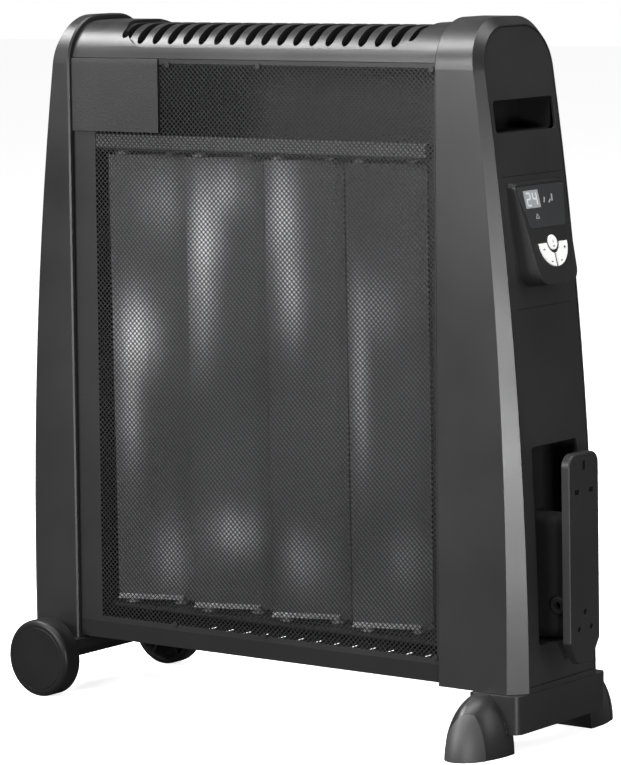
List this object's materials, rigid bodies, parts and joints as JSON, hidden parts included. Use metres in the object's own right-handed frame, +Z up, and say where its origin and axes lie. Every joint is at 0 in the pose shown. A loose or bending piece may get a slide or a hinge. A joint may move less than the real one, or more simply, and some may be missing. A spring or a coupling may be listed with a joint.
{
  "type": "mica panel heater",
  "caption": "Upright free-standing mica panel heater with moulded flared end casings, perforated grilles, slotted top, tilted key pod, cord wrap plate, claw foot and wheels.",
  "frame": {"origin": "bottom centre of the heater's bounding box, on the floor", "axes": "+Z up, front grille towards -Y, control end towards +X, wheels at the -X end"},
  "size_m": [0.587, 0.236, 0.63],
  "materials": {
    "moulded_black": "semi-gloss moulded black",
    "satin_black": "satin fine-textured black",
    "matte_black": "matte black",
    "black_steel": "black stove enamel on steel sheet",
    "zinc_steel": "zinc plated steel",
    "mica_sheet": "silvery mica laminate",
    "ceramic_white": "unglazed ceramic",
    "smoked_lens": "smoked lens",
    "black_component": "moulded component",
    "circuit_board": "green circuit laminate",
    "white_key": "white moulded key",
    "bright_steel": "bright plated steel",
    "lead_sleeve": "glass-fibre lead sleeve",
    "wheel_black": "moulded black wheel",
    "foot_rubber": "dark rubber"
  },
  "bodies": {
    "heater": {"left_casing": "moulded_black", "left_end_plate": "satin_black", "right_casing": "moulded_black", "right_end_plate": "satin_black", "cord_bay_tray": "satin_black", "grip_liner": "matte_black", "top_cover": "moulded_black", "air_baffle": "black_steel", "corner_plate": "black_steel", "base_pan": "black_steel", "left_upright": "zinc_steel", "right_upright": "zinc_steel", "partition": "zinc_steel", "front_grille": "black_steel", "rear_grille": "black_steel", "front_cross_rail": "black_steel", "rear_cross_rail": "black_steel", "front_lower_rail": "black_steel", "rear_lower_rail": "black_steel", "mica_panel_1": "mica_sheet", "mica_panel_2": "mica_sheet", "mica_panel_3": "mica_sheet", "mica_panel_4": "mica_sheet", "insulator_posts": "ceramic_white", "upper_hanger": "zinc_steel", "lower_hanger": "zinc_steel", "earth_tabs": "zinc_steel", "control_pod": "moulded_black", "display_window": "smoked_lens", "display_module": "black_component", "key_board": "circuit_board", "key_switches": "black_component", "main_board": "circuit_board", "board_parts": "black_component", "board_posts": "bright_steel", "terminal_block": "ceramic_white", "thermal_cutout": "bright_steel", "wiring_harness": "lead_sleeve", "tip_switch_bracket": "bright_steel", "tip_microswitch": "black_component", "cord_wrap_stem": "satin_black", "cord_wrap_plate": "satin_black", "cord_gland": "matte_black", "foot_beam": "moulded_black", "rear_foot_pad": "foot_rubber", "front_foot_pad": "foot_rubber", "foot_screws": "bright_steel", "wheel_bracket": "matte_black", "wheel_axle": "bright_steel", "axle_clips": "bright_steel", "grille_screws": "bright_steel"},
    "front_wheel": {"front_wheel": "wheel_black", "front_hub_cap": "wheel_black"},
    "rear_wheel": {"rear_wheel": "wheel_black", "rear_hub_cap": "wheel_black"},
    "power_key": {"power_key": "white_key"},
    "minus_key": {"minus_key": "white_key"},
    "plus_key": {"plus_key": "white_key"},
    "tip_pendulum": {"tip_switch_pendulum": "bright_steel"}
  },
  "joints": [
    {"name": "front_wheel_spin", "type": "hinge", "parent": "heater", "child": "front_wheel", "pos_m": [-0.2503, -0.0918, 0.036], "axis": [0, 1, 0], "continuous": true},
    {"name": "rear_wheel_spin", "type": "hinge", "parent": "heater", "child": "rear_wheel", "pos_m": [-0.2503, 0.0918, 0.036], "axis": [0, 1, 0], "continuous": true},
    {"name": "power_key_press", "type": "slide", "parent": "heater", "child": "power_key", "axis": [-0.969, 0, -0.2472], "range_m": [0, 0.0008], "stiffness_N_per_m": 900},
    {"name": "minus_key_press", "type": "slide", "parent": "heater", "child": "minus_key", "axis": [-0.969, 0, -0.2472], "range_m": [0, 0.0008], "stiffness_N_per_m": 900},
    {"name": "plus_key_press", "type": "slide", "parent": "heater", "child": "plus_key", "axis": [-0.969, 0, -0.2472], "range_m": [0, 0.0008], "stiffness_N_per_m": 900},
    {"name": "tip_pendulum_swing", "type": "hinge", "parent": "heater", "child": "tip_pendulum", "pos_m": [0.201, 0, 0.29], "axis": [0, 1, 0], "range_deg": [-30, 12]}
  ]
}
